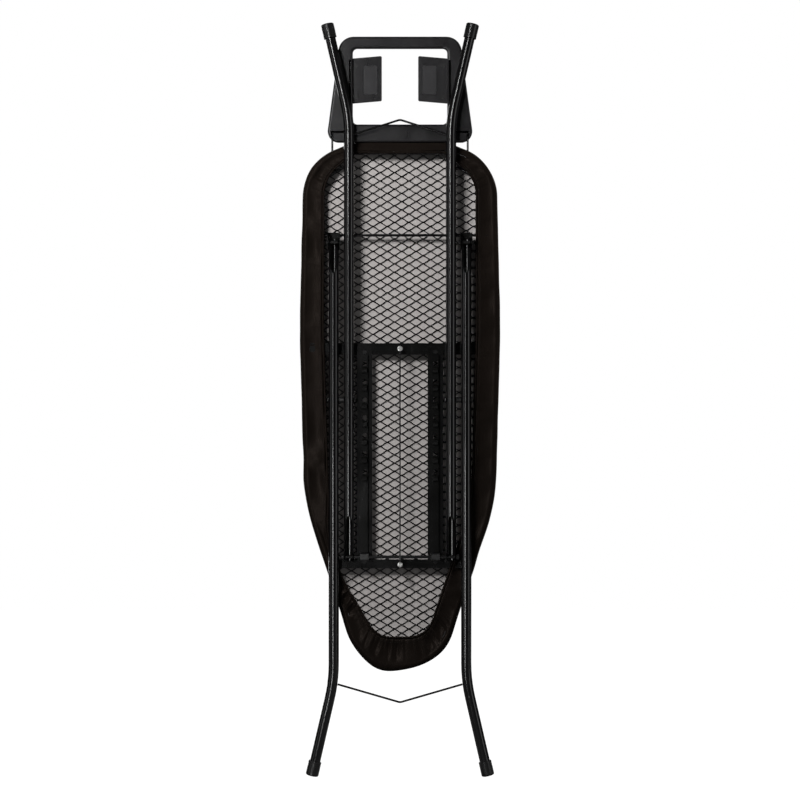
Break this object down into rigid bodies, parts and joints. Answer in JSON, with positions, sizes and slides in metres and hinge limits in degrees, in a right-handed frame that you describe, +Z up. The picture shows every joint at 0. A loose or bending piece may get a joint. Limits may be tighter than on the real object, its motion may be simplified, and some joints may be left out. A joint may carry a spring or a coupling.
{
  "type": "ironing board",
  "caption": "Folding ironing board with an expanded-metal top, fitted black cover, crossed tube legs, height racks and a plastic iron rest; folded flat, standing on end.",
  "frame": {"origin": "on the floor under the middle of the bounding box of the folded board standing on end on its outer feet", "axes": "+Z up the board's length towards the iron rest, +Y the way the ironing surface faces, X across the board"},
  "size_m": [0.39, 0.0491, 1.462],
  "materials": {
    "leg_tube_enamel": "satin black enamel on steel tube",
    "frame_enamel": "satin black enamel",
    "mesh_enamel": "black enamel on expanded steel",
    "pressed_steel_enamel": "satin black enamel on pressed sheet",
    "wire_enamel": "satin black enamel on wire",
    "black_fastener": "black oxide rivets",
    "zinc_screw": "bright zinc",
    "axle_steel": "black coated steel rod",
    "foot_cap_rubber": "black moulded, slightly glossy",
    "spacer_nylon": "black nylon",
    "glide_nylon": "black nylon",
    "rest_plastic": "fine-grained black moulding",
    "heat_pad_silicone": "dark silicone",
    "rest_peg": "black",
    "felt": "needled felt, warm grey",
    "cover_cloth": "black woven cotton with a slight sheen",
    "elastic_band": "black elastic in the hem"
  },
  "bodies": {
    "board": {"board_rim": "frame_enamel", "mesh_top": "mesh_enamel", "felt_pad": "felt", "board_cover": "cover_cloth", "cover_elastic": "elastic_band", "upper_cross_channel": "pressed_steel_enamel", "lower_cross_channel": "pressed_steel_enamel", "height_rack_left": "pressed_steel_enamel", "height_rack_right": "pressed_steel_enamel", "rack_rivets": "black_fastener", "pivot_bracket_left": "pressed_steel_enamel", "pivot_bracket_right": "pressed_steel_enamel", "outer_leg_pivot_pins": "black_fastener", "pivot_cross_rod": "wire_enamel", "axle_keeper_wire": "wire_enamel", "keeper_wire_screws": "zinc_screw", "iron_rest_frame": "rest_plastic", "heat_pad_left": "heat_pad_silicone", "heat_pad_right": "heat_pad_silicone", "heat_pad_pegs": "rest_peg", "rest_support_rod_left": "wire_enamel", "rest_support_rod_right": "wire_enamel", "rest_side_wire_left": "wire_enamel", "rest_side_wire_right": "wire_enamel"},
    "outer_legs": {"outer_leg_tube_left": "leg_tube_enamel", "outer_leg_tube_right": "leg_tube_enamel", "outer_foot_cap_left": "foot_cap_rubber", "outer_foot_cap_right": "foot_cap_rubber", "outer_leg_brace_wire": "wire_enamel", "cross_pivot_rivets": "black_fastener", "cross_pivot_spacers": "spacer_nylon"},
    "inner_legs": {"inner_leg_tube_left": "leg_tube_enamel", "inner_leg_tube_right": "leg_tube_enamel", "inner_foot_cap_left": "foot_cap_rubber", "inner_foot_cap_right": "foot_cap_rubber", "inner_leg_brace_wire": "wire_enamel", "slide_axle": "axle_steel", "axle_push_caps": "black_fastener"},
    "glides": {"rack_glide_left": "glide_nylon", "rack_glide_right": "glide_nylon"}
  },
  "joints": [
    {"name": "leg_fold", "type": "hinge", "parent": "board", "child": "outer_legs", "pos_m": [0, -0.01205, 1.036], "axis": [-1, 0, 0], "range_deg": [0, 66]},
    {"name": "leg_crossing", "type": "hinge", "parent": "outer_legs", "child": "inner_legs", "pos_m": [0, -0.01205, 0.731], "axis": [-1, 0, 0], "range_deg": [-132, 0]},
    {"name": "glide_tilt", "type": "hinge", "parent": "inner_legs", "child": "glides", "pos_m": [0, -0.01205, 0.426], "axis": [-1, 0, 0], "range_deg": [0, 66]}
  ],
  "couplings": [
    {"joint": "leg_crossing", "follows": "leg_fold", "ratio": -2},
    {"joint": "glide_tilt", "follows": "leg_fold", "ratio": 1}
  ]
}
